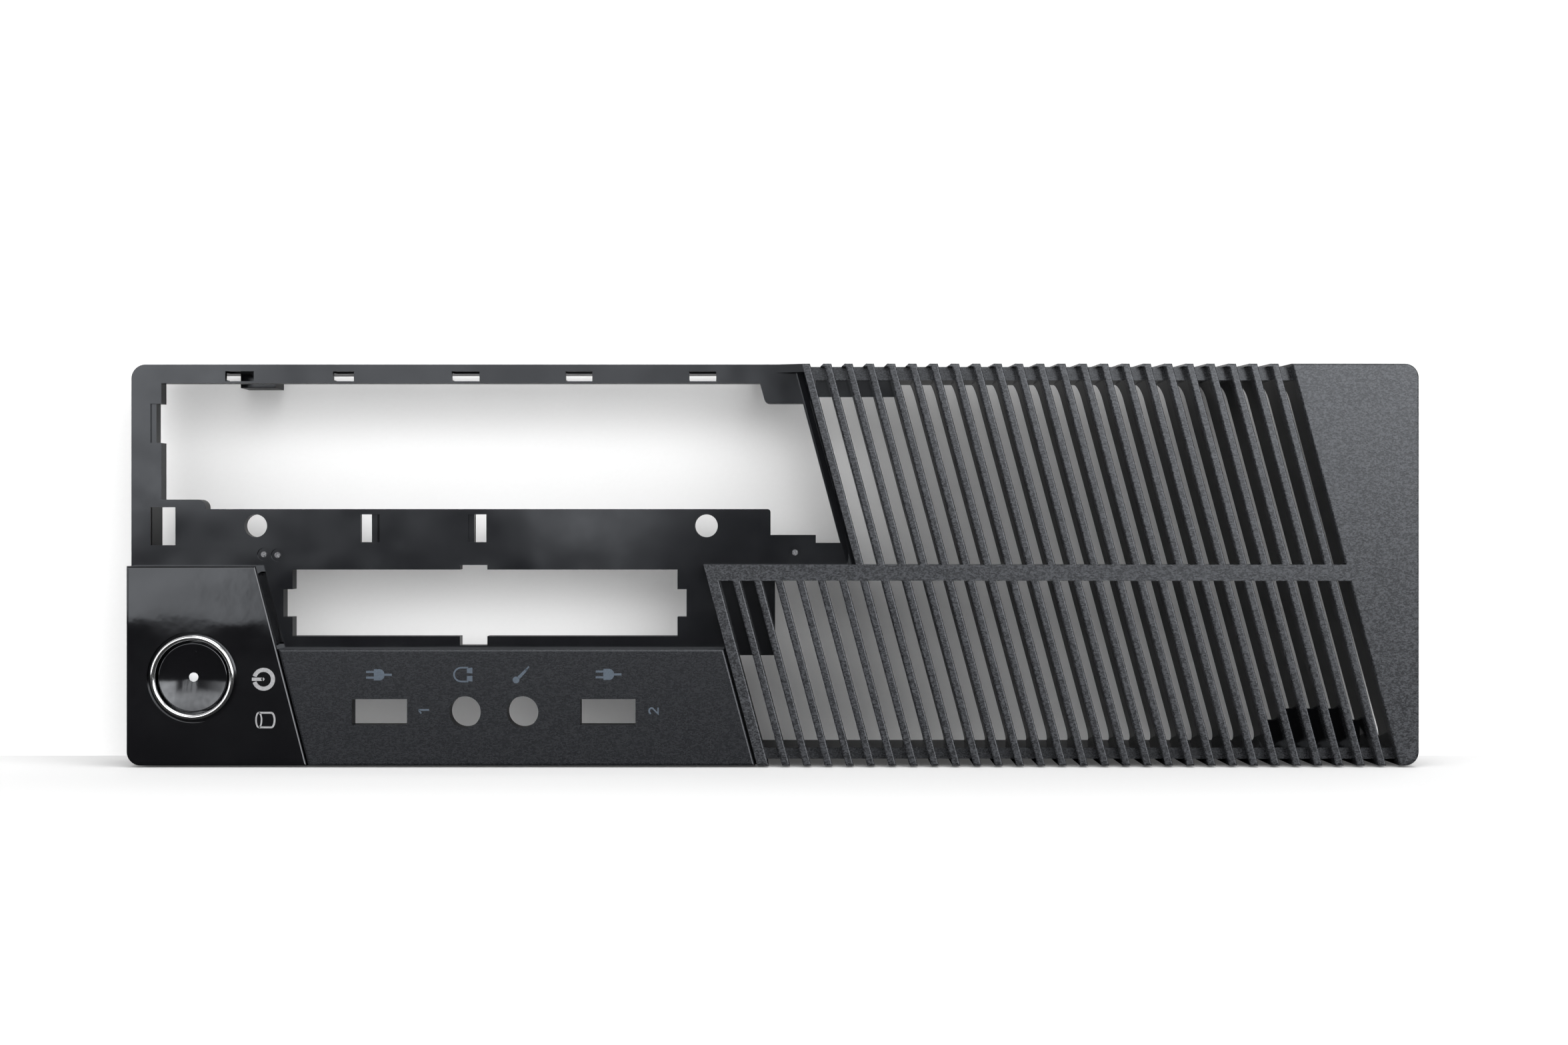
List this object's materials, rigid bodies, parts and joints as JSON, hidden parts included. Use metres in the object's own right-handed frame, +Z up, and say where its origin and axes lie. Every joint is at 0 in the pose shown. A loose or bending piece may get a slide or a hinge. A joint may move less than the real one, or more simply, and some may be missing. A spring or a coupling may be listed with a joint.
{
  "type": "desktop computer front bezel",
  "caption": "Black moulded front bezel for a slim desktop computer, with a slanted wrap-round grille, drive and card openings, port windows and a sprung power button.",
  "frame": {"origin": "middle of the underside of the part's box, with the bezel standing as it is fitted", "axes": "X along the long side towards the grille, +Z up, the front looks along -Y"},
  "size_m": [0.3378, 0.0368, 0.1058],
  "materials": {
    "black_moulding": "fine spark texture on the grille, smooth semi-gloss on the recessed plate",
    "textured_panel": "fine spark texture",
    "gloss_panel": "high gloss",
    "chrome_ring": "bright plated",
    "gloss_cap": "high gloss",
    "clear_lens": "clear moulded",
    "black_inner": "moulded satin",
    "spring_steel": "drawn wire",
    "screw_steel": "zinc plated"
  },
  "bodies": {
    "bezel": {"front_moulding": "black_moulding", "port_panel": "textured_panel", "button_panel": "gloss_panel", "button_ring": "chrome_ring", "button_guide": "black_inner", "return_spring": "spring_steel", "guide_screws": "screw_steel", "light_guide": "clear_lens"},
    "button": {"power_button": "gloss_cap", "button_lens": "clear_lens"}
  },
  "joints": [
    {"name": "button_press", "type": "slide", "parent": "bezel", "child": "button", "axis": [0, 1, 0], "range_m": [0, 0.0018], "stiffness_N_per_m": 900, "springref_m": -0.0006, "deforming": ["return_spring"]}
  ]
}
